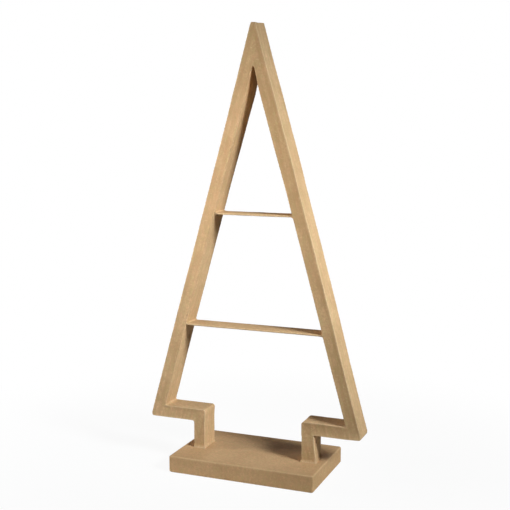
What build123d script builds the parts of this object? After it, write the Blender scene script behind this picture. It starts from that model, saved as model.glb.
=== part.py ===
"""Tree-shaped display rack: a hollow frame with two thin shelves on a rectangular base.

Every member is a box of greyboard covered with pasted kraft paper.  The origin is the centre of
the base's underside, +X to the right, +Y to the back and +Z up.  All sizes are in millimetres.
"""

from build123d import *
import math
import os

# Overall sizes of the frame, measured over the paper
overall_height = 501.8
overall_width = 257.0          # across the two arm tips
frame_depth = 28.0             # front face to back face
tip_width = 3.8                # small flat at the very top
tip_rise = 1.8                 # the flat is cut aslant, higher at the back
arm_underside = 50.8           # height of the arms' lower faces above the table
rail_width = 14.2              # square across a sloping rail
arm_height = 14.2
post_width = 14.0
post_gap = 117.4               # clear space between the two posts

# Shelves, by the height of their upper faces
upper_shelf_height = 293.6
lower_shelf_height = 164.8
shelf_depth = 25.6             # a little less than the frame, so each shelf lies inside its faces

# Base
base_length = 172.0
base_depth = 105.0
base_height = 19.4

# Stock
board = 2.0                    # greyboard of the frame and the base
paper = 0.8                    # several pasted layers on the frame and the base
shelf_board = 1.5
shelf_paper = 0.35             # thinner skin on the shelves' flat faces

# Joints between pieces
tongue_width = 12.0            # tongue at each end of a shelf board, front to back
tongue_overrun = 1.5           # how far a tongue passes the strip that it goes through
slot_clearance = 0.15          # all round a tongue in its slot
foot_flare = 1.8               # paper turned out where a post meets the base

# Rounding that the pasted paper leaves
edge_round = 2.0               # long edges of the frame
corner_round = 2.2             # corners of the tree outline
arm_tip_round = 3.4            # blunter ends of the two arms
crotch_round = 0.6             # narrow inner angle under the tip
base_corner_round = 1.5
base_edge_round = 1.6
shelf_edge_round = 0.5

# Worked out from the sizes above
core_depth = frame_depth - 2 * paper
shelf_thickness = shelf_board + 2 * shelf_paper
shelf_core_depth = shelf_depth - 2 * paper
rake = (overall_width - tip_width) / 2 / (overall_height - arm_underside)
slant = math.sqrt(1 + rake**2)  # level width of a rail for each unit of square width
core_floor = paper + board      # upper face of the base's bottom board, where the posts stand
post_centre = (post_gap + post_width) / 2
tip_round = min(corner_round, 0.55 * tip_width)

# Radius at each named corner of the tree outline, for the paper and for the boards inside it
PAPER_ROUNDS = {
    "armpit": corner_round,
    "arm_tip": arm_tip_round,
    "peak": tip_round,
    "crotch": crotch_round,
    "elbow": corner_round,
    "shoulder": corner_round,
}
BOARD_ROUNDS = {name: PAPER_ROUNDS[name] - paper for name in ("arm_tip", "peak", "shoulder")}

SIDES = {"left": -1, "right": 1}
SHELF_HEIGHTS = {"upper_shelf": upper_shelf_height, "lower_shelf": lower_shelf_height}


def rail_outer(height, inset=0.0):
    """Half-width to the rails' outer faces at a height, inset into the board."""
    return overall_width / 2 - (height - arm_underside) * rake - inset * slant


def rail_inner(height, inset=0.0):
    """Half-width to the rails' inner faces at a height, inset into the board."""
    return overall_width / 2 - (height - arm_underside) * rake - (rail_width - inset) * slant


def outline_corners(inset, foot):
    """Right-hand corners of the tree outline, as (x, z), inset all round and standing at foot."""
    under = arm_underside + inset
    over = arm_underside + arm_height - inset
    post_outer = post_gap / 2 + post_width - inset
    post_inner = post_gap / 2 + inset
    top = overall_height - inset
    crotch = arm_underside + (overall_width / 2 - (rail_width - inset) * slant) / rake
    return {
        "foot_outer": (post_outer, foot),
        "armpit": (post_outer, under),
        "arm_tip": (rail_outer(under, inset), under),
        "peak": (rail_outer(top, inset), top),
        "crotch": (0.0, crotch),
        "elbow": (rail_inner(over, inset), over),
        "shoulder": (post_inner, over),
        "foot_inner": (post_inner, foot),
    }


def mirrored(points, side):
    """Points of the right-hand half, placed on the named side."""
    return [(SIDES[side] * x, z) for x, z in points]


def tree_outline(inset, foot):
    """The whole tree outline, from the left foot over the tip and back along the inside."""
    corner = outline_corners(inset, foot)
    outer = [corner[name] for name in ("foot_outer", "armpit", "arm_tip", "peak")]
    inner = [corner[name] for name in ("elbow", "shoulder", "foot_inner")]
    return (
        mirrored(outer, "left")
        + outer[::-1]
        + inner[::-1]
        + [corner["crotch"]]
        + mirrored(inner, "left")
    )


def between_rails(bottom, top, inset):
    """Outline of a shelf from rail to rail, ending at an inset from the rails' inner faces."""
    right = [(rail_inner(bottom, inset), bottom), (rail_inner(top, inset), top)]
    return right + mirrored(right, "left")[::-1]


def shelf_end(bottom, top, side):
    """Outline of a tongue at one end of a shelf, or of its slot: through the strip and past it."""
    past_strip = paper + board + tongue_overrun
    points = [
        (rail_inner(bottom), bottom),
        (rail_inner(bottom, past_strip), bottom),
        (rail_inner(top, past_strip), top),
        (rail_inner(top), top),
    ]
    return mirrored(points, side)


def mitre_plane(outer, inner):
    """Plane across a member through two outline corners, with its upper side facing the tip."""
    run = inner[0] - outer[0]
    rise = inner[1] - outer[1]
    facing = math.copysign(1, run)
    return Plane(origin=(outer[0], 0, outer[1]), z_dir=(-facing * rise, 0, facing * run))


def keep(piece, label):
    """Label a finished piece and write it to its own file."""
    piece.part.label = label
    export_step(piece.part, f"parts/{label}.step")


def outline_face(points):
    """A flat face in the middle plane with straight sides through points given as (x, z)."""
    with BuildSketch(Plane.XZ) as outline:
        with BuildLine():
            Polyline(*points, close=True)
        make_face()
    return outline.sketch


def rounded_tree(plane, inset, foot, rounds):
    """A flat face with the tree outline, its named corners rounded."""
    with BuildSketch(plane) as tree:
        with BuildLine():
            Polyline(*tree_outline(inset, foot), close=True)
        make_face()
        for name, radius in rounds.items():
            x, z = outline_corners(inset, foot)[name]
            here = tree.vertices().filter_by(lambda v: math.hypot(abs(v.X) - x, v.Y - z) < paper / 2)
            fillet(here, radius)
    return tree.sketch


os.makedirs("parts", exist_ok=True)

# ---------------------------------------------------------------- frame boards
# The space inside the paper, from the base's bottom board up to the slanting flat of the tip.
tip_plane = Plane(origin=(0, frame_depth / 2, overall_height), z_dir=(0, -tip_rise, frame_depth))

with BuildPart() as frame_core:
    extrude(rounded_tree(Plane.XZ, paper, core_floor, BOARD_ROUNDS), amount=core_depth / 2, both=True)
    split(bisect_by=tip_plane.offset(-paper), keep=Keep.BOTTOM)

# One die-cut board at its front and one at its back.
with BuildPart() as frame_front_board:
    add(frame_core)
    split(bisect_by=Plane.XZ.offset(core_depth / 2 - board), keep=Keep.TOP)
keep(frame_front_board, "frame_front_board")

with BuildPart() as frame_back_board:
    add(frame_core)
    split(bisect_by=Plane.XZ.offset(board - core_depth / 2), keep=Keep.BOTTOM)
keep(frame_back_board, "frame_back_board")

# ---------------------------------------------------------------- edge strips
# Strips of board between the two frame boards, mitred where they meet and rounded with them.
strip_depth = core_depth - 2 * board
face_corner = outline_corners(paper, core_floor)
back_corner = outline_corners(paper + board, core_floor)
# The backs of the two outer rail strips meet on the middle plane, or stop at the flat of the tip.
strip_meeting = arm_underside + (overall_width / 2 - (paper + board) * slant) / rake
strip_top = min(strip_meeting, overall_height - paper - board)
tip_flat = [back_corner["peak"]] if back_corner["peak"][0] > 0 else []

strip_outlines = {
    "post_outer_strip": [
        face_corner["foot_outer"],
        face_corner["armpit"],
        back_corner["armpit"],
        back_corner["foot_outer"],
    ],
    "arm_under_strip": [
        face_corner["armpit"],
        face_corner["arm_tip"],
        back_corner["arm_tip"],
        back_corner["armpit"],
    ],
    "rail_outer_strip": [
        face_corner["arm_tip"],
        face_corner["peak"],
        (0.0, overall_height - paper),
        (0.0, strip_top),
        *tip_flat,
        back_corner["arm_tip"],
    ],
    "arm_top_strip": [
        face_corner["shoulder"],
        face_corner["elbow"],
        back_corner["elbow"],
        back_corner["shoulder"],
    ],
    "post_inner_strip": [
        face_corner["foot_inner"],
        face_corner["shoulder"],
        back_corner["shoulder"],
        back_corner["foot_inner"],
    ],
}
inner_rail_strip_outline = [
    face_corner["elbow"],
    face_corner["crotch"],
    back_corner["crotch"],
    back_corner["elbow"],
]

for side in SIDES:
    for name, points in strip_outlines.items():
        with BuildPart() as strip:
            extrude(outline_face(mirrored(points, side)), amount=strip_depth / 2, both=True)
            add(frame_core, mode=Mode.INTERSECT)
        keep(strip, f"{side}_{name}")

    # The inner strip of each rail has a slot for a tongue of each shelf board.
    with BuildPart() as rail_inner_strip:
        strip_face = outline_face(mirrored(inner_rail_strip_outline, side))
        extrude(strip_face, amount=strip_depth / 2, both=True)
        for height in SHELF_HEIGHTS.values():
            slot_top = height - shelf_paper + slot_clearance
            slot_bottom = height - shelf_paper - shelf_board - slot_clearance
            slot_face = outline_face(shelf_end(slot_bottom, slot_top, side))
            slot_half_width = tongue_width / 2 + slot_clearance
            extrude(slot_face, amount=slot_half_width, both=True, mode=Mode.SUBTRACT)
    keep(rail_inner_strip, f"{side}_rail_inner_strip")

# ---------------------------------------------------------------- shelves
# A thin board whose ends butt against the inner strips, with a tongue through each strip, and
# a paper sleeve that stops at the rails' paper.
for shelf, height in SHELF_HEIGHTS.items():
    board_top = height - shelf_paper
    board_bottom = board_top - shelf_board
    shelf_bottom = height - shelf_thickness
    board_face = outline_face(between_rails(board_bottom, board_top, paper))

    with BuildPart() as shelf_plank:
        extrude(board_face, amount=shelf_core_depth / 2, both=True)
        for side in SIDES:
            tongue_face = outline_face(shelf_end(board_bottom, board_top, side))
            extrude(tongue_face, amount=tongue_width / 2, both=True)
    keep(shelf_plank, f"{shelf}_board")

    with BuildPart() as sleeve:
        extrude(outline_face(between_rails(shelf_bottom, height, 0)), amount=shelf_depth / 2, both=True)
        fillet(sleeve.edges().filter_by(Axis.X), shelf_edge_round)
        extrude(board_face, amount=shelf_core_depth / 2, both=True, mode=Mode.SUBTRACT)
    keep(sleeve, f"{shelf}_paper")

# ---------------------------------------------------------------- frame paper
# The whole skin is shaped once and hollowed, then parted into one sleeve for each member.
with BuildPart() as frame_skin:
    extrude(rounded_tree(Plane.XZ, 0, base_height, PAPER_ROUNDS), amount=frame_depth / 2, both=True)
    rim = frame_skin.edges().filter_by(lambda e: abs(abs(e.center().Y) - frame_depth / 2) < shelf_paper)
    fillet(rim.filter_by(lambda e: e.center().Z > base_height + foot_flare), edge_round)
    split(bisect_by=tip_plane, keep=Keep.BOTTOM)
    add(frame_core, mode=Mode.SUBTRACT)

for side, sign in SIDES.items():
    corner = {name: (sign * x, z) for name, (x, z) in outline_corners(0, base_height).items()}
    middle_plane = Plane(origin=(0, 0, 0), z_dir=(sign, 0, 0))
    rail_mitre = mitre_plane(corner["arm_tip"], corner["elbow"])
    post_mitre = mitre_plane(corner["armpit"], corner["shoulder"])

    with BuildPart() as rail_paper:
        add(frame_skin)
        split(bisect_by=middle_plane, keep=Keep.TOP)
        split(bisect_by=rail_mitre, keep=Keep.TOP)
        for height in SHELF_HEIGHTS.values():
            plank_top = height - shelf_paper
            plank_face = outline_face(between_rails(plank_top - shelf_board, plank_top, paper))
            extrude(plank_face, amount=shelf_core_depth / 2, both=True, mode=Mode.SUBTRACT)
    keep(rail_paper, f"{side}_rail_paper")

    with BuildPart() as arm_paper:
        add(frame_skin)
        split(bisect_by=middle_plane, keep=Keep.TOP)
        split(bisect_by=rail_mitre, keep=Keep.BOTTOM)
        split(bisect_by=post_mitre, keep=Keep.TOP)
    keep(arm_paper, f"{side}_arm_paper")

    # The post's paper is turned out onto the base in a short sloping skirt.
    with BuildPart() as post_paper:
        add(frame_skin)
        split(bisect_by=middle_plane, keep=Keep.TOP)
        split(bisect_by=post_mitre, keep=Keep.BOTTOM)
        with BuildSketch(Plane.XY.offset(base_height)):
            with Locations((sign * post_centre, 0)):
                RectangleRounded(post_width + 2 * foot_flare, frame_depth + 2 * foot_flare, corner_round)
        with BuildSketch(Plane.XY.offset(base_height + foot_flare)):
            with Locations((sign * post_centre, 0)):
                RectangleRounded(post_width, frame_depth, edge_round)
        loft(ruled=True)
        with BuildSketch(Plane.XY.offset(base_height)):
            with Locations((sign * post_centre, 0)):
                Rectangle(post_width - 2 * paper, core_depth)
        extrude(amount=foot_flare, mode=Mode.SUBTRACT)
    keep(post_paper, f"{side}_post_paper")

# ---------------------------------------------------------------- base boards
# Top and bottom boards with a wall on each side between them, their outer corners rounded.
core_length = base_length - 2 * paper
base_core_depth = base_depth - 2 * paper
core_corner_round = base_corner_round - paper
top_board_underside = base_height - paper - board
wall_height = top_board_underside - core_floor

with BuildPart() as base_bottom_board:
    with BuildSketch(Plane.XY.offset(paper)):
        RectangleRounded(core_length, base_core_depth, core_corner_round)
    extrude(amount=board)
keep(base_bottom_board, "base_bottom_board")

with BuildPart() as base_top_board:
    with BuildSketch(Plane.XY.offset(top_board_underside)):
        RectangleRounded(core_length, base_core_depth, core_corner_round)
        with Locations((-post_centre, 0), (post_centre, 0)):
            Rectangle(post_width - 2 * paper, core_depth, mode=Mode.SUBTRACT)
    extrude(amount=board)
keep(base_top_board, "base_top_board")

wall_offset = (base_core_depth - board) / 2
for name, y in (("front", -wall_offset), ("back", wall_offset)):
    with BuildPart() as long_wall:
        with BuildSketch(Plane.XY.offset(core_floor)):
            RectangleRounded(core_length, base_core_depth, core_corner_round)
            with Locations((0, y)):
                Rectangle(core_length, board, mode=Mode.INTERSECT)
        extrude(amount=wall_height)
    keep(long_wall, f"base_{name}_wall")

for side, sign in SIDES.items():
    with BuildPart() as end_wall:
        with BuildSketch(Plane.XY.offset(core_floor)):
            RectangleRounded(core_length, base_core_depth, core_corner_round)
            with Locations((sign * (core_length - board) / 2, 0)):
                Rectangle(board, base_core_depth - 2 * board, mode=Mode.INTERSECT)
        extrude(amount=wall_height)
    keep(end_wall, f"base_{side}_wall")

# ---------------------------------------------------------------- base paper
# A top sheet with the two post holes, a band round the edge and a bottom sheet.
with BuildPart() as base_skin:
    with BuildSketch():
        RectangleRounded(base_length, base_depth, base_corner_round)
    extrude(amount=base_height)
    fillet(base_skin.faces().sort_by(Axis.Z)[-1].edges(), base_edge_round)
    fillet(base_skin.faces().sort_by(Axis.Z)[0].edges(), base_edge_round)
    with BuildSketch(Plane.XY.offset(paper)):
        RectangleRounded(core_length, base_core_depth, core_corner_round)
    extrude(amount=base_height - 2 * paper, mode=Mode.SUBTRACT)
    with BuildSketch(Plane.XY.offset(base_height - paper)):
        with Locations((-post_centre, 0), (post_centre, 0)):
            Rectangle(post_width - 2 * paper, core_depth)
    extrude(amount=paper, mode=Mode.SUBTRACT)

sheet_line = Plane.XY.offset(base_height - paper)
bottom_line = Plane.XY.offset(paper)

with BuildPart() as base_top_paper:
    add(base_skin)
    split(bisect_by=sheet_line, keep=Keep.TOP)
keep(base_top_paper, "base_top_paper")

with BuildPart() as base_edge_paper:
    add(base_skin)
    split(bisect_by=sheet_line, keep=Keep.BOTTOM)
    split(bisect_by=bottom_line, keep=Keep.TOP)
keep(base_edge_paper, "base_edge_paper")

with BuildPart() as base_bottom_paper:
    add(base_skin)
    split(bisect_by=bottom_line, keep=Keep.BOTTOM)
keep(base_bottom_paper, "base_bottom_paper")
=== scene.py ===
"""Looks of the tree-shaped display rack: its pasted kraft paper, camera, lamps and floor."""

import math

import bmesh
import bpy
from mathutils import Matrix, Vector, geometry, kdtree, noise


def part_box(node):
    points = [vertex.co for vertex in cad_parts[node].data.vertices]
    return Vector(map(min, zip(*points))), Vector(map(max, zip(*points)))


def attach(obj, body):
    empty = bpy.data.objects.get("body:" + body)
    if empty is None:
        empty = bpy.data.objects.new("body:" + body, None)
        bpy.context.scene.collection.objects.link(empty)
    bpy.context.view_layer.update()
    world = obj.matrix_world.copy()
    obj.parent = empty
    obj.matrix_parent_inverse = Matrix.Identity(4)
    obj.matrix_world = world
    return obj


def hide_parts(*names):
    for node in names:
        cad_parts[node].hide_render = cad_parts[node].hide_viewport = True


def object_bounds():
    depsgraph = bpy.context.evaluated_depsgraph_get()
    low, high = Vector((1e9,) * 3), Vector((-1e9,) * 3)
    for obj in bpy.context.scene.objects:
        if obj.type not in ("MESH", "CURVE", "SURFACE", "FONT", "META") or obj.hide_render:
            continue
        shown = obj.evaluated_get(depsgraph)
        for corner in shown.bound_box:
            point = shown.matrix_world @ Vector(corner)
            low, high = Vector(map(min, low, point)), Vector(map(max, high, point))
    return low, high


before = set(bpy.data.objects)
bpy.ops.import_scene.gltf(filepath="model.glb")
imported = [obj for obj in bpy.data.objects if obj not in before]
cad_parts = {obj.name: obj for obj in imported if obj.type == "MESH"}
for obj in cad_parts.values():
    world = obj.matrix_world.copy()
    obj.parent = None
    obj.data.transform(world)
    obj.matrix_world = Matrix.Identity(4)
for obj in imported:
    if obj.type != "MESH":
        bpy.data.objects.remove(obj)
cad_low, cad_high = [Vector(corner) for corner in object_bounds()]

MM = 0.001

# ------------------------------------------------------------------ sizes, in metres
HEIGHT = 501.8 * MM                  # to the highest edge of the tip
DEPTH = 28.0 * MM
HALF_DEPTH = DEPTH / 2
BASE_LOW, BASE_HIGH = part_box("base_edge_paper")
BASE_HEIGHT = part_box("base_top_paper")[1].z
WIDTH = 257.0 * MM                   # across the arm tips, before their corners are rounded
TIP_WIDTH = 3.8 * MM
ARM_UNDERSIDE = 50.8 * MM
ARM_HEIGHT = 14.2 * MM
RAIL_WIDTH = 14.2 * MM
POST_WIDTH = 14.0 * MM
POST_GAP = 117.4 * MM
BASE_CORNER = 1.5 * MM               # upright corners of the base
LEFT_BASE_CORNER = 3.0 * MM          # the paper is folded looser round the left end
PAPER = 0.75 * MM                    # wall of the skin, a little less than the space for it
TURN_OVER = 4.5 * MM                 # the base's top and bottom sheets are turned over its edges

EDGE_ROUND = 1.1 * MM                # long edges of the frame
CORNER_ROUND = 2.2 * MM              # where an arm's top turns down into its post
ARM_TIP_ROUND = 3.4 * MM
TIP_ROUND = 1.6 * MM
TIP_RISE = 1.8 * MM                  # the flat of the tip is cut a little aslant
BASE_ROUND = 1.5 * MM                # level edges of the base
COVE = 1.7 * MM                      # paper turned from a rail onto a shelf
FOOT_COVE = 1.1 * MM                 # and from a post onto the base
FRAME_GRID = 1.0 * MM                # spacing of the points that carry the paper's unevenness
SHELF_GRID = 0.6 * MM
BASE_GRID = 1.0 * MM
SOFTENING = 0.5                      # how far a point moves towards its neighbours' middle in a pass
SOFTENING_PASSES = 3

NEAR = 1.0 * MM                      # edges are chosen by where they lie, to within this
HAIR = 0.01 * MM                     # or within this, where others lie close by

RAKE = (WIDTH - TIP_WIDTH) / 2 / (HEIGHT - ARM_UNDERSIDE)
SLANT = math.sqrt(1 + RAKE**2)
ARM_TOP = ARM_UNDERSIDE + ARM_HEIGHT
SIDES = {"left": -1, "right": 1}


def rail_outer(height, inset=0.0):
    """Half-width to the rails' outer faces at a height."""
    return WIDTH / 2 - (height - ARM_UNDERSIDE) * RAKE - inset * SLANT


def rail_inner(height, inset=0.0):
    """Half-width to the rails' inner faces at a height."""
    return rail_outer(height) - (RAIL_WIDTH - inset) * SLANT


def outline_corners(inset, foot):
    """Right-hand corners of the tree outline, from the outside of the foot round to its inside."""
    under, over, top = ARM_UNDERSIDE + inset, ARM_TOP - inset, HEIGHT - inset
    crotch = ARM_UNDERSIDE + (WIDTH / 2 - (RAIL_WIDTH - inset) * SLANT) / RAKE
    outside, inside = POST_GAP / 2 + POST_WIDTH - inset, POST_GAP / 2 + inset
    return [(outside, foot), (outside, under), (rail_outer(under, inset), under),
            (rail_outer(top, inset), top), (0.0, crotch), (rail_inner(over, inset), over),
            (inside, over), (inside, foot)]


def tree_outline(inset, foot):
    """The whole outline, from the left foot over the tip and back along the inside."""
    corners = outline_corners(inset, foot)
    over, under = corners[:4], corners[5:]
    return ([(-x, z) for x, z in over] + over[::-1] + under[::-1] + [corners[4]]
            + [(-x, z) for x, z in under])


# ------------------------------------------------------------------ mesh helpers
def slab(points, low_y, high_y):
    """An outline in X and Z carried from one Y to another."""
    shape = bmesh.new()
    face = shape.faces.new([shape.verts.new((x, low_y, z)) for x, z in points])
    grown = bmesh.ops.extrude_face_region(shape, geom=[face])["geom"]
    moved = [v for v in grown if isinstance(v, bmesh.types.BMVert)]
    bmesh.ops.translate(shape, verts=moved, vec=(0, high_y - low_y, 0))
    bmesh.ops.recalc_face_normals(shape, faces=shape.faces)
    return shape


def slant_tip(shape, inset):
    """Cut the flat of the tip so that it rises from front to back."""
    everything = shape.verts[:] + shape.edges[:] + shape.faces[:]
    cut = bmesh.ops.bisect_plane(shape, geom=everything, plane_co=(0, HALF_DEPTH, HEIGHT - inset),
                                 plane_no=(0, -TIP_RISE, DEPTH), clear_outer=True)
    bmesh.ops.edgeloop_fill(shape, edges=[e for e in cut["geom_cut"] if isinstance(e, bmesh.types.BMEdge)])
    bmesh.ops.recalc_face_normals(shape, faces=shape.faces)


def block(low, high):
    """A box between two corners."""
    shape = bmesh.new()
    bmesh.ops.create_cube(shape, size=1.0)
    low, high = Vector(low), Vector(high)
    bmesh.ops.scale(shape, verts=shape.verts, vec=high - low)
    bmesh.ops.translate(shape, verts=shape.verts, vec=(low + high) / 2)
    return shape


def joined(*shapes):
    """Several bmeshes as one."""
    whole = bmesh.new()
    for shape in shapes:
        mesh = bpy.data.meshes.new("part")
        shape.to_mesh(mesh)
        shape.free()
        whole.from_mesh(mesh)
    return whole


def middle(edge):
    """The point halfway along an edge."""
    return (edge.verts[0].co + edge.verts[1].co) / 2


def across(shape):
    """The edges that run from the frame's front to its back."""
    return [e for e in shape.edges if abs(middle(e).y) < NEAR]


def bevel(shape, edges, radius, steps=4):
    """Round some edges."""
    bmesh.ops.bevel(shape, geom=edges, offset=radius, offset_type="OFFSET", segments=steps,
                    profile=0.5, affect="EDGES", material=-1, clamp_overlap=True)


def placed(shape, name):
    """An object of its own for a bmesh."""
    mesh = bpy.data.meshes.new(name)
    shape.to_mesh(mesh)
    shape.free()
    made = bpy.data.objects.new(name, mesh)
    bpy.context.scene.collection.objects.link(made)
    return made


def modified(shape, kind, **settings):
    """The bmesh after one modifier."""
    form = placed(shape, "form")
    modifier = form.modifiers.new(kind, kind)
    for name, value in settings.items():
        setattr(modifier, name, value)
    graph = bpy.context.evaluated_depsgraph_get()
    result = bmesh.new()
    result.from_mesh(form.evaluated_get(graph).to_mesh())
    bpy.data.objects.remove(form)
    return result


def carved(shape, tool, operation):
    """The bmesh after a boolean with another bmesh."""
    cutter = placed(tool, "cutter")
    result = modified(shape, "BOOLEAN", object=cutter, operation=operation, solver="MANIFOLD")
    bpy.data.objects.remove(cutter)
    return result


def remeshed(shape, grid):
    """One even skin over all the overlapping forms, its edges and inner corners softened."""
    even = modified(shape, "REMESH", mode="VOXEL", voxel_size=grid)
    for _ in range(SOFTENING_PASSES):
        bmesh.ops.smooth_vert(even, verts=even.verts, factor=SOFTENING,
                              use_axis_x=True, use_axis_y=True, use_axis_z=True)
    even.normal_update()
    return even


PAINTS = ("wear_and_highlight", "painted_shade")  # laid on a skin's points and read by its material: pale edges, partly wear and partly painted highlight, and painted shade


def painted_points(whole):
    """The places of a whole skin's points, to be searched, and the paint on each."""
    places = kdtree.KDTree(len(whole.verts))
    layers = [whole.verts.layers.float[paint] for paint in PAINTS]
    for index, vertex in enumerate(whole.verts):
        places.insert(vertex.co, index)
    places.balance()
    return places, [[vertex[layer] for layer in layers] for vertex in whole.verts]


def repainted(shape, painted):
    """A cut piece whose points have all got the paint of the nearest point of the whole skin."""
    places, paint = painted
    layers = [shape.verts.layers.float[name] for name in PAINTS]
    for vertex in shape.verts:
        for layer, value in zip(layers, paint[places.find(vertex.co)[1]]):
            vertex[layer] = value
    return shape


# ------------------------------------------------------------------ unevenness of pasted paper
DISH = 0.30 * MM                     # how far a face sinks between its edges
WAVE = 0.22 * MM                     # slow waves along a member
WAVE_LENGTH = 34 * MM
RIPPLE = 0.07 * MM                   # short ripples where wet paper was rubbed down
RIPPLE_LENGTH = 9 * MM
RIPPLE_START = Vector((7.0, 3.0, 5.0))  # so that ripples and waves don't rise together
EDGE_ZONE = 3 * MM                   # near an edge the paper only stands off, never sinks
DEEPEST = -0.5 * MM                  # the boards lie just under the paper
SHADE_FACING = 0.6, 0.9             # cosines between which the painted shade fades as a face turns from the front


def unevenness(place):
    """How far the paper stands off its mean surface at a place."""
    slow = noise.noise(place / WAVE_LENGTH)
    short = noise.noise(place / RIPPLE_LENGTH + RIPPLE_START)
    return WAVE * slow + RIPPLE * short


def blend(start, end, value):
    """0 before start, 1 after end, and smooth between."""
    share = min(max((value - start) / (end - start), 0.0), 1.0)
    return share * share * (3 - 2 * share)


def off_edge(rise, from_edge):
    """The rise of the paper, turned outward where an edge is near."""
    return rise + (abs(rise) - rise) * (1 - blend(0, EDGE_ZONE, from_edge))


def facing(amount):
    """1 for a face that looks one way, and 0 where it is turned from it, as on a rounded edge."""
    return blend(*SHADE_FACING, amount)


def within_cad(place):
    """The place, brought back inside the part's own box."""
    return Vector([min(max(c, low), high) for c, low, high in zip(place, cad_low, cad_high)])


# Boards cut by hand are never straight. Each pair is a height above the floor and the stand-off of a
# rail's face from its true line there, both in mm.
RAIL_BOW = {
    ("left", "outer"): [(136, 0.0), (215, 0.1), (240, -0.2), (390, -0.2), (430, 0.3), (500, 0.9)],
    ("right", "outer"): [(85, -0.2), (130, 0.0), (195, 0.9), (260, 1.3), (315, 1.0), (348, 1.4),
                         (414, 0.8), (460, 0.0)],
    ("left", "inner"): [(75, 0.6), (133, 0.0), (172, -0.2), (318, -0.2), (388, 0.7), (422, 1.2),
                        (452, 0.0)],
    ("right", "inner"): [(80, 0.1), (158, 0.4), (180, -0.2), (308, -0.2), (384, 0.9), (427, 1.3),
                         (452, 0.0)],
}
POST_OUTWARD = 0.45 * MM             # the right post stands this far outward
POST_WIDER = 0.3 * MM                # and its outer face a little more
POST_FRONT = 0.6 * MM                # most of all in front,
FOOT_FLARE = 2.4 * MM                # where it flares towards the foot
FLARE_TOP = ARM_UNDERSIDE - 5 * MM
POST_SHIFT_TOP = ARM_UNDERSIDE - 3 * MM  # from here up the post comes back to its true place
ARM_TIP_REACH = 20 * MM              # the arms are drawn in over this length at their tips
ARM_TIP_MOVE = {"left": Vector((0.35 * MM, 0, 0)), "right": Vector((-0.5 * MM, 0, 0.5 * MM))}


def stray(knots, height):
    """How far a face stands off its true line at a height."""
    for (low, start), (high, end) in zip(knots, knots[1:]):
        if height <= high * MM:
            return MM * (start + (end - start) * blend(low * MM, high * MM, height))
    return MM * knots[-1][1]


def rail_shift(place):
    """Sideways move of a point of a rail, for both faces' bow."""
    side = "left" if place.x < 0 else "right"
    outer = rail_outer(place.z)
    inward = min(max((outer - abs(place.x)) / min(RAIL_WIDTH * SLANT, outer), 0.0), 1.0)
    outer_bow = stray(RAIL_BOW[side, "outer"], place.z) * (1 - inward)
    inner_bow = stray(RAIL_BOW[side, "inner"], place.z) * inward
    return SIDES[side] * (outer_bow - inner_bow) * blend(ARM_UNDERSIDE, ARM_TOP, place.z)


def post_shift(place):
    """Sideways move of a point of the right post."""
    outward = min(max((place.x - POST_GAP / 2) / POST_WIDTH, 0.0), 1.0)
    below_arm = 1 - blend(POST_SHIFT_TOP, ARM_UNDERSIDE, place.z)
    to_foot = 1 - blend(BASE_HEIGHT, FLARE_TOP, place.z)
    in_front = 1 - blend(-HALF_DEPTH, HALF_DEPTH, place.y)
    flare = (POST_FRONT + FOOT_FLARE * to_foot) * in_front
    return (POST_OUTWARD + (POST_WIDER + flare) * outward) * below_arm * (outward > 0)


def arm_tip_shift(place):
    """Move of a point of an arm tip, cut a little short and, on the right, hanging less low."""
    side = "right" if place.x > 0 else "left"
    at_tip = blend(WIDTH / 2 - ARM_TIP_REACH, WIDTH / 2, abs(place.x))
    below_top = 1 - blend(ARM_UNDERSIDE, ARM_TOP, place.z)
    return ARM_TIP_MOVE[side] * at_tip * below_top


def outline_distance(place, outline):
    """Distance in X and Z from a place to the nearest side of an outline."""
    point = Vector((place.x, place.z))
    nearest = HEIGHT
    for start, end in zip(outline, outline[1:] + outline[:1]):
        start, end = Vector(start), Vector(end)
        foot, share = geometry.intersect_point_line(point, start, end)
        foot = start if share < 0 else end if share > 1 else foot
        nearest = min(nearest, (point - foot).length)
    return nearest


# ------------------------------------------------------------------ frame skin
LIP = 0.32 * MM                      # the strips overlap along the long edges and stand a little proud
LIP_WIDTH = 4.5 * MM
WEAR_AND_HIGHLIGHT_FULL = 0.5 * MM               # edges are painted paler this near: wear from handling and painted highlight
WEAR_AND_HIGHLIGHT_NONE = 1.7 * MM               # and no further than this
INSIDE_WEAR_AND_HIGHLIGHT = 0.3                  # the edges inside the tree are painted less pale, as hands reach them less
PAINTED_SHADE_START = -4 * MM               # painted shade darkens the right half's front from here
PAINTED_SHADE_FULL = 6 * MM
NEAR_TIP = 380 * MM                  # and, more faintly, both rails' front from here up
TIP_PAINTED_SHADE = 0.6
TIP_EDGES = 2 * MM                   # how far below the height the tip's own edges lie
SHORT_EDGES = 4 * MM                 # edges wholly this near the top are left to the tip's rounding
SKIRT_LIFT = 0.3 * MM                # the skirt's rim stands up this far before it slopes
CORE_BELOW = 5 * MM                  # the space for the boards goes this far down into the base

tree = tree_outline(0, BASE_HEIGHT)
form = slab(tree, -HALF_DEPTH, HALF_DEPTH)
slant_tip(form, 0)
bevel(form, [e for e in across(form) if abs(abs(middle(e).x) - POST_GAP / 2) < NEAR
             and middle(e).z > ARM_UNDERSIDE], CORNER_ROUND)
bevel(form, [e for e in across(form) if abs(middle(e).x) > WIDTH / 2 - NEAR], ARM_TIP_ROUND)
bevel(form, [e for e in across(form) if middle(e).z > HEIGHT - TIP_EDGES
             and abs(e.verts[0].co.y - e.verts[1].co.y) > DEPTH / 2], TIP_ROUND)
bevel(form, [e for e in form.edges if abs(abs(middle(e).y) - HALF_DEPTH) < HAIR
             and min(v.co.z for v in e.verts) < HEIGHT - SHORT_EDGES
             and max(v.co.z for v in e.verts) > BASE_HEIGHT + NEAR], EDGE_ROUND)


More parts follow.
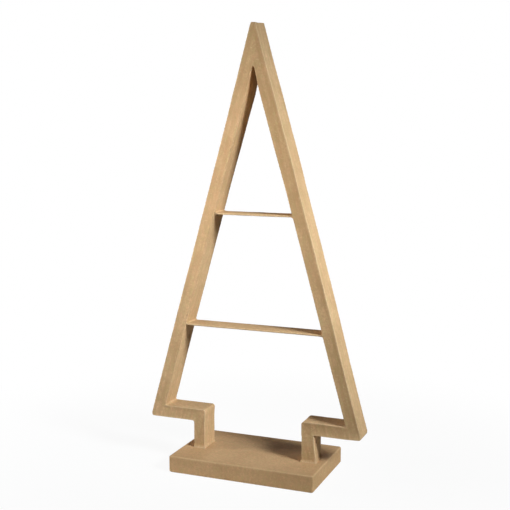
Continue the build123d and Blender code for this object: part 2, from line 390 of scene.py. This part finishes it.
def foot_cove(side):
    """Sloping skirt of paper round the foot of a post."""
    skirt = bmesh.new()
    centre = SIDES[side] * (POST_GAP + POST_WIDTH) / 2
    for height, spread in ((BASE_HEIGHT - PAPER, FOOT_COVE), (BASE_HEIGHT + SKIRT_LIFT, FOOT_COVE),
                           (BASE_HEIGHT + FOOT_COVE, 0.0)):
        for x_sign in (-1, 1):
            for y_sign in (-1, 1):
                skirt.verts.new((centre + x_sign * (POST_WIDTH / 2 + spread),
                                 y_sign * (HALF_DEPTH + spread), height))
    bmesh.ops.convex_hull(skirt, input=skirt.verts)
    return skirt


skin = remeshed(joined(form, foot_cove("left"), foot_cove("right")), FRAME_GRID)
wear_and_highlight = skin.verts.layers.float.new("wear_and_highlight")
shade_layer = skin.verts.layers.float.new("painted_shade")
for vertex in skin.verts:
    place = vertex.co.copy()
    from_outline = outline_distance(place, tree)
    from_face = HALF_DEPTH - abs(place.y)
    from_edge = max(from_outline, from_face)

    on_inside = place.z > ARM_TOP and rail_outer(place.z) - abs(place.x) > RAIL_WIDTH / 2
    most = INSIDE_WEAR_AND_HIGHLIGHT if on_inside else 1.0
    # Pale edges: wear from handling and painted highlight.
    vertex[wear_and_highlight] = most * (1 - blend(WEAR_AND_HIGHLIGHT_FULL, WEAR_AND_HIGHLIGHT_NONE, from_edge))
    # Painted shade: front faces of the right half, and more faintly both rails' front near the tip, are
    # darkened.
    on_right = blend(PAINTED_SHADE_START, PAINTED_SHADE_FULL, place.x) * blend(ARM_UNDERSIDE, ARM_TOP, place.z)
    near_tip = TIP_PAINTED_SHADE * blend(NEAR_TIP, HEIGHT, place.z)
    vertex[shade_layer] = facing(-vertex.normal.y) * max(on_right, near_tip)

    to_middle = min(max(from_outline / (RAIL_WIDTH / 2), from_face / HALF_DEPTH), 1.0)
    sink = DISH * (1 - (1 - to_middle) ** 2)
    lip = LIP * (1 - min(from_edge / LIP_WIDTH, 1.0)) ** 2
    rise = off_edge(unevenness(place), from_edge)
    aside = post_shift(place)
    pulled = arm_tip_shift(place)
    # A member that is moved sinks less, so that its boards stay under the paper.
    out = max(rise - sink, DEEPEST + min(aside + pulled.length, -DEEPEST))
    moved = Vector((rail_shift(place) + aside, math.copysign(lip, place.y), 0))
    vertex.co = within_cad(place + vertex.normal * out + pulled + moved)
frame_paint = painted_points(skin)

# The space for the boards, left hollow under the paper.
frame_core = slab(tree_outline(PAPER, BASE_HEIGHT - CORE_BELOW), PAPER - HALF_DEPTH, HALF_DEPTH - PAPER)
slant_tip(frame_core, PAPER)
bevel(frame_core, [e for e in across(frame_core) if abs(middle(e).x) > WIDTH / 2 - 3 * PAPER],
      ARM_TIP_ROUND - PAPER)
bevel(frame_core, [e for e in across(frame_core) if abs(abs(middle(e).x) - POST_GAP / 2 - PAPER) < NEAR
                   and middle(e).z > ARM_UNDERSIDE + ARM_HEIGHT / 2], CORNER_ROUND - PAPER)
frame_skin = carved(skin, frame_core, "DIFFERENCE")

# ------------------------------------------------------------------ shelf skins
SHELF_BITE = 0.7 * MM                # how far the ends reach into the rails' paper
SHELF_ROUND = 0.6 * MM
COVE_ROOT = 0.6 * MM                 # how deep a cove's paper is rooted in the shelf
COVE_SETBACK = 0.4 * MM              # and how far it keeps from the front and back edges
SHELF_WAVE = 0.16 * MM
SHELF_WAVE_LENGTH = 16 * MM
SHELF_RIPPLE = 0.05 * MM
SHELF_RIPPLE_LENGTH = 4 * MM
END_LUMP = 0.45 * MM                 # scraps of paper were pressed lumpily into the corners at the rails
END_LUMP_LENGTH = 2.5 * MM
END_LUMPS_REACH = 8 * MM
BOARD_CLEAR = 0.02 * MM              # the hollow is this much larger than the board in it


def shelf_plank(low, high):
    """A shelf between two heights and depths, its ends cut to the rails' slant."""
    corners = [(-rail_inner(level, SHELF_BITE), level) for level in (low.z, high.z)]
    plank = slab(corners + [(-x, level) for x, level in corners[::-1]], low.y, high.y)
    bevel(plank, [e for e in plank.edges if abs(abs(middle(e).y) - high.y) < HAIR
                  and abs(middle(e).x) < NEAR], SHELF_ROUND)
    return plank


def shelf_cove(side, level, turn, low_y, high_y):
    """Wedge of paper turned from a rail onto a shelf, above it for a turn of 1 and below for -1."""
    sign, reach, root = SIDES[side], level + turn * COVE, level - turn * COVE_ROOT
    return slab([(sign * rail_inner(reach, SHELF_BITE), reach), (sign * rail_inner(reach), reach),
                 (sign * (rail_inner(level) - COVE), level), (sign * (rail_inner(level) - COVE), root),
                 (sign * rail_inner(level, SHELF_BITE), root)],
                low_y + COVE_SETBACK, high_y - COVE_SETBACK)


shelf_skins = {}
for shelf in ("upper_shelf", "lower_shelf"):
    low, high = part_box(f"{shelf}_paper")
    coves = [shelf_cove(side, level, turn, low.y, high.y)
             for side in SIDES for level, turn in ((high.z, 1), (low.z, -1))]
    skin = remeshed(joined(shelf_plank(low, high), *coves), SHELF_GRID)
    wear_and_highlight = skin.verts.layers.float.new("wear_and_highlight")
    for vertex in skin.verts:
        place = vertex.co.copy()
        rise = (SHELF_WAVE * noise.noise(place / SHELF_WAVE_LENGTH)
                + SHELF_RIPPLE * noise.noise(place / SHELF_RIPPLE_LENGTH))
        at_end = 1 - blend(0, END_LUMPS_REACH, rail_inner(place.z) - abs(place.x))
        rise = rise + END_LUMP * at_end * noise.noise(place / END_LUMP_LENGTH)
        # Pale front and back edges: wear and painted highlight.
        vertex[wear_and_highlight] = 1 - blend(0, WEAR_AND_HIGHLIGHT_FULL, high.y - abs(place.y))
        vertex.co = place + vertex.normal * rise
    board_low, board_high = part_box(f"{shelf}_board")
    hollow = block((-WIDTH, board_low.y - BOARD_CLEAR, board_low.z - BOARD_CLEAR),
                   (WIDTH, board_high.y + BOARD_CLEAR, board_high.z + BOARD_CLEAR))
    shelf_skins[shelf] = carved(skin, hollow, "DIFFERENCE")

# ------------------------------------------------------------------ base skin
LEFT_END = BASE_LOW.x - 0.6 * MM     # the paper stands off the board there
MID_BASE = BASE_HEIGHT / 2
CORNER_STEPS = 6
TOP_DISH_REACH = 14 * MM             # the top sinks from its edges inward over this length
STILL_WALL = 0.9                     # the walls are dished too, but not where their corners turn
BASE_PATTERN = Vector((0, 0, HEIGHT))  # gives the base other waves than the frame's
FRONT_PAINTED_SHADE = 0.8                   # painted shade darkens the base towards the right, on its front
END_PAINTED_SHADE = 0.6                     # and on its right end


def rounded_left_end(place):
    """A place on the base, drawn in where its sheets are turned loosely over its left end."""
    above = math.copysign(1, place.z - MID_BASE)
    past = Vector((LEFT_END + LEFT_BASE_CORNER - place.x,
                   abs(place.z - MID_BASE) - MID_BASE + LEFT_BASE_CORNER))
    if min(past) <= 0 or past.length <= LEFT_BASE_CORNER:
        return place
    drawn = past.normalized() * LEFT_BASE_CORNER
    return Vector((LEFT_END + LEFT_BASE_CORNER - drawn.x, place.y,
                   MID_BASE + above * (MID_BASE - LEFT_BASE_CORNER + drawn.y)))


form = block((LEFT_END, BASE_LOW.y, 0), (BASE_HIGH.x, BASE_HIGH.y, BASE_HEIGHT))
for sign, radius in ((1, BASE_CORNER), (-1, LEFT_BASE_CORNER)):
    bevel(form, [e for e in form.edges if abs(middle(e).z - MID_BASE) < NEAR and sign * middle(e).x > 0
                 and abs(e.verts[0].co.z - e.verts[1].co.z) > NEAR], radius, CORNER_STEPS)
bevel(form, [e for e in form.edges if abs(abs(middle(e).z - MID_BASE) - MID_BASE) < HAIR], BASE_ROUND)
skin = remeshed(form, BASE_GRID)
wear_and_highlight = skin.verts.layers.float.new("wear_and_highlight")
shade_layer = skin.verts.layers.float.new("painted_shade")
for vertex in skin.verts:
    place = rounded_left_end(vertex.co.copy())
    inside = min(BASE_HIGH.x - abs(place.x), BASE_HIGH.y - abs(place.y))
    from_edge = max(inside, min(place.z, BASE_HEIGHT - place.z))

    # Pale edges: wear and painted highlight.
    vertex[wear_and_highlight] = 1 - blend(WEAR_AND_HIGHLIGHT_FULL, WEAR_AND_HIGHLIGHT_NONE, from_edge)
    # Painted shade: the base's front and right end, darker towards the right.
    darkest = FRONT_PAINTED_SHADE * facing(-vertex.normal.y) + END_PAINTED_SHADE * facing(vertex.normal.x)
    vertex[shade_layer] = blend(BASE_LOW.x, BASE_HIGH.x, place.x) * darkest

    mid_wall = 1 - abs(place.z / MID_BASE - 1)
    on_wall = blend(STILL_WALL, 1.0, 1 - abs(inside) / BASE_CORNER)
    sink = DISH * max(blend(0, TOP_DISH_REACH, inside), mid_wall * on_wall)
    rise = off_edge(unevenness(place + BASE_PATTERN), from_edge)
    # The underside stays flat, because the rack rests on it.
    vertex.co = within_cad(place + vertex.normal * (rise - sink) * blend(0, EDGE_ZONE, place.z))
base_paint = painted_points(skin)

base_core = block((BASE_LOW.x + PAPER, BASE_LOW.y + PAPER, PAPER),
                  (BASE_HIGH.x - PAPER, BASE_HIGH.y - PAPER, BASE_HEIGHT - PAPER))
bevel(base_core, [e for e in base_core.edges if abs(middle(e).z - MID_BASE) < NEAR],
      BASE_CORNER - PAPER, CORNER_STEPS)
base_skin = carved(skin, base_core, "DIFFERENCE")


# ------------------------------------------------------------------ materials
SHARE, UNDER, OVER, RESULT = 0, 6, 7, 2  # places of the sockets of a Mix node that mixes colours
WHITE = "#FFFFFF"

PATCH = 26 * MM                      # where paste soaked in more or less
STRIP_WIDTH, STRIP_LENGTH = 34 * MM, 52 * MM
STRIP_TONE = 0.40                    # how far a torn strip may go from the sheet's tone to its own
STRIP_RAGGED = 0.9                   # how unevenly the strips lie, 1 for quite at random
STRIP_RIM = 0.03                     # part of a strip's width over which it ends
CLUMP = (4 * MM, 4 * MM, 9 * MM)     # of mixed waste in the pulp
OLIVE_TINGE, ROSY_TINGE = "#E6ECD8", "#FBF2EC"
STREAK = 3 * MM                      # across a streak
STREAK_STRETCH = 14                  # a streak's length over its width
GRAIN = 2.4 * MM                     # across a knot of fibres
FIBRE = 0.55 * MM                    # across a fibre, several times what a real one is, so that it shows
FIBRE_STRETCH = 7
FIBRE_TONE = 0.5                     # how far a fibre goes to the pale tone of the edges
# the tone that painted shade multiplies in
PAINTED_SHADE_TINGE = "#ECEAE4"
WEAR_AND_HIGHLIGHT_TONE = 0.22                     # how far an edge goes to the pale tone, for wear and painted highlight
WRINKLE = 6 * MM                     # from one wrinkle of the wet sheet to the next
WRINKLE_DEPTH = 0.24 * MM
GRAIN_DEPTH = 0.16 * MM
FIBRE_DEPTH = 0.03 * MM
STRIP_DEPTH = 0.04 * MM

CLOUD = 9 * MM                       # greyboard's own patterns
FLECK_SPACING = 3 * MM
FELT = 0.9 * MM
FELT_DEPTH = 0.08 * MM


def linear(colour):
    """Linear red, green, blue and alpha of an sRGB hex value such as "#B4926A"."""
    channels = [int(colour[i:i + 2], 16) / 255 for i in (1, 3, 5)]
    return tuple(c / 12.92 if c <= 0.04045 else ((c + 0.055) / 1.055) ** 2.4 for c in channels) + (1.0,)


def node(graph, kind, inputs=None, **settings):
    """Add a node with its settings. Each input takes another node's socket, a hex colour or a value."""
    made = graph.nodes.new(kind)
    for name, value in settings.items():
        setattr(made, name, value)
    for name, value in (inputs or {}).items():
        if isinstance(value, bpy.types.NodeSocket):
            graph.links.new(value, made.inputs[name])
        else:
            made.inputs[name].default_value = linear(value) if isinstance(value, str) else value
    return made


def new_material(name):
    """An empty material, its node graph, its surface shader and the place on the piece."""
    material = bpy.data.materials.new(name)
    material.use_nodes = True
    graph = material.node_tree
    at = node(graph, "ShaderNodeTexCoord").outputs["Object"]
    return material, graph, graph.nodes["Principled BSDF"], at


def torn_strips(graph, at):
    """Strips laid over each other: how far each has a tone of its own, and the step at its torn edge."""
    size = (STRIP_WIDTH, STRIP_WIDTH, STRIP_LENGTH)
    place = node(graph, "ShaderNodeVectorMath", {0: at, 1: size}, operation="DIVIDE").outputs[0]
    layout = {"Vector": place, "Scale": 1.0, "Randomness": STRIP_RAGGED}
    strips = node(graph, "ShaderNodeTexVoronoi", layout)
    tone = node(graph, "ShaderNodeSeparateColor", {"Color": strips.outputs["Color"]})
    share = node(graph, "ShaderNodeMath", {0: tone.outputs["Red"], 1: STRIP_TONE}, operation="MULTIPLY")
    rims = node(graph, "ShaderNodeTexVoronoi", layout, feature="DISTANCE_TO_EDGE")
    step = node(graph, "ShaderNodeMapRange", {"Value": rims.outputs["Distance"], "From Min": 0.0,
                                              "From Max": STRIP_RIM, "To Min": 1.0, "To Max": 0.0})
    return share.outputs[0], step.outputs[0]


def waste_clumps(graph, at):
    """Rosy and olive clumps of the waste in the pulp, half a centimetre across and drawn out upright."""
    place = node(graph, "ShaderNodeVectorMath", {0: at, 1: CLUMP}, operation="DIVIDE").outputs[0]
    clumps = node(graph, "ShaderNodeTexNoise", {"Vector": place, "Scale": 1.0, "Detail": 2.0,
                                                "Roughness": 0.6})
    share = node(graph, "ShaderNodeMapRange", {"Value": clumps.outputs["Fac"], "From Min": 0.36,
                                               "From Max": 0.64})
    return node(graph, "ShaderNodeMix", {SHARE: share.outputs[0], UNDER: OLIVE_TINGE, OVER: ROSY_TINGE},
                data_type="RGBA").outputs[RESULT]


def lengthwise_streaks(graph, at, streaked):
    """Faint streaks three millimetres wide along the slant of the rails, where narrow strips were laid."""
    axes = node(graph, "ShaderNodeSeparateXYZ", {"Vector": at})
    aside = node(graph, "ShaderNodeMath", {0: axes.outputs["X"]}, operation="ABSOLUTE")
    over_slant = node(graph, "ShaderNodeMath", {0: axes.outputs["Z"], 1: RAKE, 2: aside.outputs[0]},
                      operation="MULTIPLY_ADD")
    along = node(graph, "ShaderNodeMath", {0: axes.outputs["Z"], 1: 1 / STREAK_STRETCH},
                 operation="MULTIPLY")
    place = node(graph, "ShaderNodeCombineXYZ", {"X": over_slant.outputs[0], "Y": axes.outputs["Y"],
                                                 "Z": along.outputs[0]}).outputs[0]
    streaks = node(graph, "ShaderNodeTexNoise", {"Vector": place, "Scale": 1 / STREAK, "Detail": 1.0,
                                                 "Roughness": 0.5})
    share = node(graph, "ShaderNodeMapRange", {"Value": streaks.outputs["Fac"], "From Min": 0.38,
                                               "From Max": 0.62})
    return node(graph, "ShaderNodeMix", {SHARE: share.outputs[0], UNDER: streaked, OVER: WHITE},
                data_type="RGBA").outputs[RESULT]


def single_fibres(graph, at):
    """Single long fibres lying every way in the sheet, 1 on a fibre and 0 beside it."""
    found = 0.0
    for lengthwise in ((1, 1, FIBRE_STRETCH), (FIBRE_STRETCH, 1, 1), (1, FIBRE_STRETCH, 1)):
        spacing = tuple(FIBRE * times for times in lengthwise)
        place = node(graph, "ShaderNodeVectorMath", {0: at, 1: spacing}, operation="DIVIDE").outputs[0]
        fibre = node(graph, "ShaderNodeTexNoise", {"Vector": place, "Scale": 1.0, "Detail": 1.0,
                                                   "Distortion": 1.2})
        mask = node(graph, "ShaderNodeMapRange", {"Value": fibre.outputs["Fac"], "From Min": 0.68,
                                                  "From Max": 0.76})
        found = node(graph, "ShaderNodeMath", {0: found, 1: mask.outputs[0]},
                     operation="MAXIMUM").outputs[0]
    return found


# Kraft paper torn into strips, soaked in thin paste, laid over the boards by hand and left matt. The eye
# sees a brown that changes from strip to strip, pulp grain, stray fibres and a wrinkled, dull surface.
def kraft_paper(name, pale, dark, torn, worn_and_highlight_tone, streaked):
    """A sheet of it, from two pale and two dark tones of pulp and the tones of single strips, of edges
    pale from wear and painted highlight, and of the streaks along the rails. White stands for no streaks.
    """
    sheet, graph, shader, at = new_material(name)
    shader.inputs["Specular IOR Level"].default_value = 0.3

    # Broad warm and grey patches, where one strip soaked up more paste than the next.
    patches = node(graph, "ShaderNodeTexNoise", {"Vector": at, "Scale": 1 / PATCH, "Detail": 3.0,
                                                 "Roughness": 0.6})
    patch_share = node(graph, "ShaderNodeMapRange", {"Value": patches.outputs["Fac"], "From Min": 0.35,
                                                     "From Max": 0.65}).outputs[0]
    pale_tone, dark_tone = [
        node(graph, "ShaderNodeMix", {SHARE: patch_share, UNDER: first, OVER: second},
             data_type="RGBA").outputs[RESULT] for first, second in (pale, dark)]

    # Each torn strip keeps a tone of its own and ends in a step one sheet high.
    strip_share, strip_step = torn_strips(graph, at)
    colour = node(graph, "ShaderNodeMix", {SHARE: strip_share, UNDER: pale_tone, OVER: torn},
                  data_type="RGBA").outputs[RESULT]
    for tinge in (waste_clumps(graph, at), lengthwise_streaks(graph, at, streaked)):
        colour = node(graph, "ShaderNodeMix", {SHARE: 1.0, UNDER: colour, OVER: tinge},
                      data_type="RGBA", blend_type="MULTIPLY").outputs[RESULT]

    # Pulp grain: fibre knots about two millimetres across, light and dark.
    grain = node(graph, "ShaderNodeTexNoise", {"Vector": at, "Scale": 1 / GRAIN, "Detail": 2.0,
                                               "Roughness": 0.65})
    grain_share = node(graph, "ShaderNodeMapRange", {"Value": grain.outputs["Fac"], "From Min": 0.34,
                                                     "From Max": 0.66}).outputs[0]
    colour = node(graph, "ShaderNodeMix", {SHARE: grain_share, UNDER: dark_tone, OVER: colour},
                  data_type="RGBA").outputs[RESULT]

    fibres = single_fibres(graph, at)
    fibre_share = node(graph, "ShaderNodeMath", {0: fibres, 1: FIBRE_TONE}, operation="MULTIPLY")
    colour = node(graph, "ShaderNodeMix", {SHARE: fibre_share.outputs[0], UNDER: colour, OVER: worn_and_highlight_tone},
                  data_type="RGBA").outputs[RESULT]

    # Painted shade: a darker, warmer tone on the right half's front, near the tip and towards the base's
    # right.
    painted_shade_share = node(graph, "ShaderNodeAttribute", attribute_name="painted_shade").outputs["Fac"]
    darkening = node(graph, "ShaderNodeMix", {SHARE: painted_shade_share, UNDER: WHITE, OVER: PAINTED_SHADE_TINGE},
                     data_type="RGBA").outputs[RESULT]
    colour = node(graph, "ShaderNodeMix", {SHARE: 1.0, UNDER: colour, OVER: darkening},
                  data_type="RGBA", blend_type="MULTIPLY").outputs[RESULT]

    # Edges painted paler: wear from handling and painted highlight on the ridges.
    edge_wear_and_highlight = node(graph, "ShaderNodeAttribute", attribute_name="wear_and_highlight").outputs["Fac"]
    wear = node(graph, "ShaderNodeMapRange", {"Value": edge_wear_and_highlight, "To Min": 0.0, "To Max": WEAR_AND_HIGHLIGHT_TONE})
    colour = node(graph, "ShaderNodeMix", {SHARE: wear.outputs[0], UNDER: colour, OVER: worn_and_highlight_tone},
                  data_type="RGBA").outputs[RESULT]
    graph.links.new(colour, shader.inputs["Base Color"])

    # Dry paste leaves some clumps a little smoother.
    sheen = node(graph, "ShaderNodeMapRange", {"Value": grain.outputs["Fac"], "From Min": 0.3,
                                               "From Max": 0.7, "To Min": 0.94, "To Max": 0.84})
    graph.links.new(sheen.outputs[0], shader.inputs["Roughness"])

    # Relief: wrinkles of the wet sheet, pulp grain, fibres and strip edges, from coarse to fine.
    wrinkles = node(graph, "ShaderNodeTexNoise", {"Vector": at, "Scale": 1 / WRINKLE, "Detail": 2.0,
                                                  "Roughness": 0.5})
    lower = {}
    for height, depth in ((wrinkles.outputs["Fac"], WRINKLE_DEPTH), (grain.outputs["Fac"], GRAIN_DEPTH),
                          (fibres, FIBRE_DEPTH), (strip_step, STRIP_DEPTH)):
        relief = node(graph, "ShaderNodeBump",
                      {"Height": height, "Strength": 1.0, "Distance": depth} | lower)
        lower = {"Normal": relief.outputs[0]}
    graph.links.new(relief.outputs[0], shader.inputs["Normal"])
    return sheet


# Board pressed from recycled pulp, hidden under the paper: grey, speckled, with a felted surface.
def pressed_greyboard():
    """Grey board, cloudy and with dark flecks of printed waste."""
    board, graph, shader, at = new_material("recycled_greyboard")
    shader.inputs["Specular IOR Level"].default_value = 0.3
    shader.inputs["Roughness"].default_value = 0.95
    pulp = node(graph, "ShaderNodeTexNoise", {"Vector": at, "Scale": 1 / CLOUD, "Detail": 4.0,
                                              "Roughness": 0.65})
    pulp_share = node(graph, "ShaderNodeMapRange", {"Value": pulp.outputs["Fac"], "From Min": 0.35,
                                                    "From Max": 0.65})
    grey = node(graph, "ShaderNodeMix", {SHARE: pulp_share.outputs[0], UNDER: "#857E70", OVER: "#99917F"},
                data_type="RGBA").outputs[RESULT]
    flecks = node(graph, "ShaderNodeTexVoronoi", {"Vector": at, "Scale": 1 / FLECK_SPACING})
    fleck_share = node(graph, "ShaderNodeMapRange", {"Value": flecks.outputs["Distance"], "From Min": 0.08,
                                                     "From Max": 0.16, "To Min": 0.6, "To Max": 0.0})
    speckled = node(graph, "ShaderNodeMix", {SHARE: fleck_share.outputs[0], UNDER: grey, OVER: "#5F584C"},
                    data_type="RGBA").outputs[RESULT]
    graph.links.new(speckled, shader.inputs["Base Color"])
    felt = node(graph, "ShaderNodeTexNoise", {"Vector": at, "Scale": 1 / FELT, "Detail": 2.0})
    felted = node(graph, "ShaderNodeBump", {"Height": felt.outputs["Fac"], "Strength": 1.0,
                                            "Distance": FELT_DEPTH})
    graph.links.new(felted.outputs[0], shader.inputs["Normal"])
    return board


# Painted light: the frame's paper gets paler, less warm tones than the base's, as brightly lit paper
# looks.
frame_kraft = kraft_paper("frame_pasted_kraft_paper_painted_paler", ("#D5B38A", "#DFBF96"), ("#B9966D", "#C39F76"),
                          "#C8A57E", "#E8D2AC", "#EFE8E2")
base_kraft = kraft_paper("pasted_brown_kraft_paper", ("#D0AA80", "#DAB58B"), ("#BA946B", "#C39D73"),
                         "#C49E75", "#E4C9A0", WHITE)
greyboard = pressed_greyboard()

# ------------------------------------------------------------------ pieces
SEAM_ANGLE = math.radians(50)        # sharper than this is a cut rim, not a rounded edge
CUT_BEYOND = 10 * MM                 # the cuts between members go this far past the paper
FAR = 2 * WIDTH                      # past the rack on every side


def dressed(shape, name, node_name):
    """Turn a skin into the piece that stands for a node of the part."""
    piece = placed(shape, name)
    piece.data.materials.append(base_kraft if name.startswith("base") else frame_kraft)
    piece.data.polygons.foreach_set("use_smooth", [True] * len(piece.data.polygons))
    piece.data.set_sharp_from_angle(angle=SEAM_ANGLE)
    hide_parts(node_name)
    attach(piece, "root")
    return piece


def mitre(inner, outer):
    """The line of a cut through two corners of the outline, drawn on past both."""
    inner, outer = Vector(inner), Vector(outer)
    further = (outer - inner).normalized()
    return inner - further * CUT_BEYOND, outer + further * CUT_BEYOND


_, armpit, arm_tip, _, _, elbow, shoulder, _ = outline_corners(0, BASE_HEIGHT)
before_elbow, beyond_tip = mitre(elbow, arm_tip)
before_shoulder, beyond_armpit = mitre(shoulder, armpit)
MEMBERS = {
    "rail": [(0, FAR), (FAR, FAR), beyond_tip, before_elbow, (0, before_elbow.y)],
    "arm": [before_elbow, beyond_tip, beyond_armpit, before_shoulder],
    "post": [before_shoulder, beyond_armpit, (beyond_armpit.x, 0), (before_shoulder.x, 0)],
}
for side, sign in SIDES.items():
    for member, region in MEMBERS.items():
        around = slab([(sign * x, z) for x, z in region], -DEPTH, DEPTH)
        cut = carved(frame_skin.copy(), around, "INTERSECT")
        dressed(repainted(cut, frame_paint), f"{side}_{member}_skin", f"{side}_{member}_paper")
frame_skin.free()

for shelf, shape in shelf_skins.items():
    dressed(shape, f"{shelf}_skin", f"{shelf}_paper")

for name, low, high in (("bottom", -WIDTH, TURN_OVER), ("edge", TURN_OVER, BASE_HEIGHT - TURN_OVER),
                        ("top", BASE_HEIGHT - TURN_OVER, WIDTH)):
    cut = carved(base_skin.copy(), block((-WIDTH, -WIDTH, low), (WIDTH, WIDTH, high)), "INTERSECT")
    dressed(repainted(cut, base_paint), f"base_{name}_skin", f"base_{name}_paper")
base_skin.free()

# The boards are pressed greyboard, and the part's own solids of paper get the paper that covers them.
for name, cad_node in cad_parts.items():
    cad_node.data.materials.clear()
    covering = base_kraft if name.startswith("base") else frame_kraft
    cad_node.data.materials.append(covering if name.endswith("_paper") else greyboard)

# ------------------------------------------------------------------ camera
PICTURE = 510                        # pixels each way
FOCAL_PIXELS = 960.4                 # focal length, in pixels of the picture
SENSOR = 36.0                        # width of the camera's sensor in mm
VIEW_AZIMUTH = math.radians(21.740)
VIEW_ELEVATION = math.radians(7.746)
VIEW_ROLL = math.radians(0.181)
VIEW_DISTANCE = 1073.1 * MM
AIM = Vector((0, 0, 250 * MM))
AIM_PIXEL = (257.104, 252.035)       # where the aim point stands in the picture

backward = Vector((math.sin(VIEW_AZIMUTH) * math.cos(VIEW_ELEVATION),
                   -math.cos(VIEW_AZIMUTH) * math.cos(VIEW_ELEVATION),
                   math.sin(VIEW_ELEVATION)))
level_right = (-backward).cross(Vector((0, 0, 1))).normalized()
level_up = level_right.cross(-backward)
right = level_right * math.cos(VIEW_ROLL) + level_up * math.sin(VIEW_ROLL)
up = level_up * math.cos(VIEW_ROLL) - level_right * math.sin(VIEW_ROLL)
aside = (AIM_PIXEL[0] - PICTURE / 2) * VIEW_DISTANCE / FOCAL_PIXELS
above = (PICTURE / 2 - AIM_PIXEL[1]) * VIEW_DISTANCE / FOCAL_PIXELS
camera_data = bpy.data.cameras.new("camera")
camera_data.sensor_width = SENSOR
camera_data.lens = SENSOR * FOCAL_PIXELS / PICTURE
camera = bpy.data.objects.new("camera", camera_data)
bpy.context.scene.collection.objects.link(camera)
stand = AIM + backward * VIEW_DISTANCE - right * aside - up * above
camera.matrix_world = Matrix.Translation(stand) @ Matrix((right, up, backward)).transposed().to_4x4()
bpy.context.scene.camera = camera


# ------------------------------------------------------------------ lamps
COOL, WARM = "#F2F9FF", "#FFFCF8"
AMBIENT = 0.03


def lamp(name, direction, aim, distance, size, spread, power, tone):
    """A round soft box with a grid over it, set at an azimuth and elevation from the point it faces.

    Azimuth 0 is straight in front and 90 at the rack's right. The spread of the grid is in degrees too,
    the distance and size in metres and the power in watts.
    """
    data = bpy.data.lights.new(name, "AREA")
    data.shape = "DISK"
    data.size = size
    data.spread = math.radians(spread)
    data.energy = power
    data.color = linear(tone)[:3]
    made = bpy.data.objects.new(name, data)
    bpy.context.scene.collection.objects.link(made)
    azimuth, elevation = [math.radians(angle) for angle in direction]
    towards = Vector((math.sin(azimuth) * math.cos(elevation), -math.cos(azimuth) * math.cos(elevation),
                      math.sin(elevation)))
    made.location = Vector(aim) + towards * distance
    made.rotation_euler = towards.to_track_quat("Z", "Y").to_euler()
    made.visible_camera = False


lamp("key_softbox", direction=(70, 30), aim=(0, 0, 0.22), distance=1.3, size=0.4, spread=36,
     power=1.31, tone=COOL)
lamp("high_fill", direction=(-45, 7), aim=(-0.10, 0, 0.38), distance=0.7, size=0.25, spread=42,
     power=0.38, tone=WARM)
lamp("low_fill", direction=(-70, 5), aim=(-0.13, 0, 0.17), distance=0.8, size=0.3, spread=55,
     power=0.57, tone=WARM)
lamp("back_fill", direction=(196, -4), aim=AIM, distance=1.3, size=0.25, spread=60,
     power=0.52, tone=WHITE)

# The camera sees plain white behind the rack, but only a little of it falls on the rack as light.
world = bpy.data.worlds.new("studio")
world.use_nodes = True
bpy.context.scene.world = world
sky = world.node_tree
ambient = sky.nodes["Background"]
ambient.inputs["Color"].default_value = linear(WHITE)
ambient.inputs["Strength"].default_value = AMBIENT
seen = node(sky, "ShaderNodeLightPath").outputs["Is Camera Ray"]
white = node(sky, "ShaderNodeBackground", {"Color": WHITE, "Strength": 1.0})
mix = node(sky, "ShaderNodeMixShader", {0: seen, 1: ambient.outputs[0], 2: white.outputs[0]})
sky.links.new(mix.outputs[0], sky.nodes["World Output"].inputs["Surface"])

# ------------------------------------------------------------------ floor
FLOOR_REACH = 6.0                    # from its middle to each side
FLOOR_DROP = 0.2 * MM                # so that it doesn't share a plane with the underside of the base
SHADOW_NEAR, SHADOW_FAR = 0.15, 0.5  # the shadow fades out between these distances from the middle
GLOW_NEAR = 0.93                     # how far the paper glows by itself where the shadow is kept


# White seamless paper: seen from the camera it glows evenly, and keeps a faint shadow of the rack.
def white_paper():
    """Matt white paper that is all glow at a distance and mostly glow near the rack."""
    paper, graph, shader, at = new_material("white_paper_floor")
    shader.inputs["Base Color"].default_value = linear("#F4F4F2")
    shader.inputs["Roughness"].default_value = 0.9
    from_rack = node(graph, "ShaderNodeVectorMath", {0: at}, operation="LENGTH")
    fade = node(graph, "ShaderNodeMapRange", {"Value": from_rack.outputs["Value"], "From Min": SHADOW_NEAR,
                                              "From Max": SHADOW_FAR, "To Min": GLOW_NEAR, "To Max": 1.0},
                interpolation_type="SMOOTHSTEP")
    seen = node(graph, "ShaderNodeLightPath").outputs["Is Camera Ray"]
    share = node(graph, "ShaderNodeMath", {0: seen, 1: fade.outputs["Result"]}, operation="MULTIPLY")
    glow = node(graph, "ShaderNodeEmission", {"Color": WHITE, "Strength": 1.0})
    surface = node(graph, "ShaderNodeMixShader", {0: share.outputs[0], 1: shader.outputs[0],
                                                  2: glow.outputs[0]})
    graph.links.new(surface.outputs[0], graph.nodes["Material Output"].inputs["Surface"])
    return paper


floor_shape = bmesh.new()
bmesh.ops.create_grid(floor_shape, x_segments=1, y_segments=1, size=FLOOR_REACH)
bmesh.ops.translate(floor_shape, verts=floor_shape.verts, vec=(0, 0, -FLOOR_DROP))
floor = placed(floor_shape, "floor")
floor.data.materials.append(white_paper())

bpy.context.scene.view_settings.view_transform = "Standard"
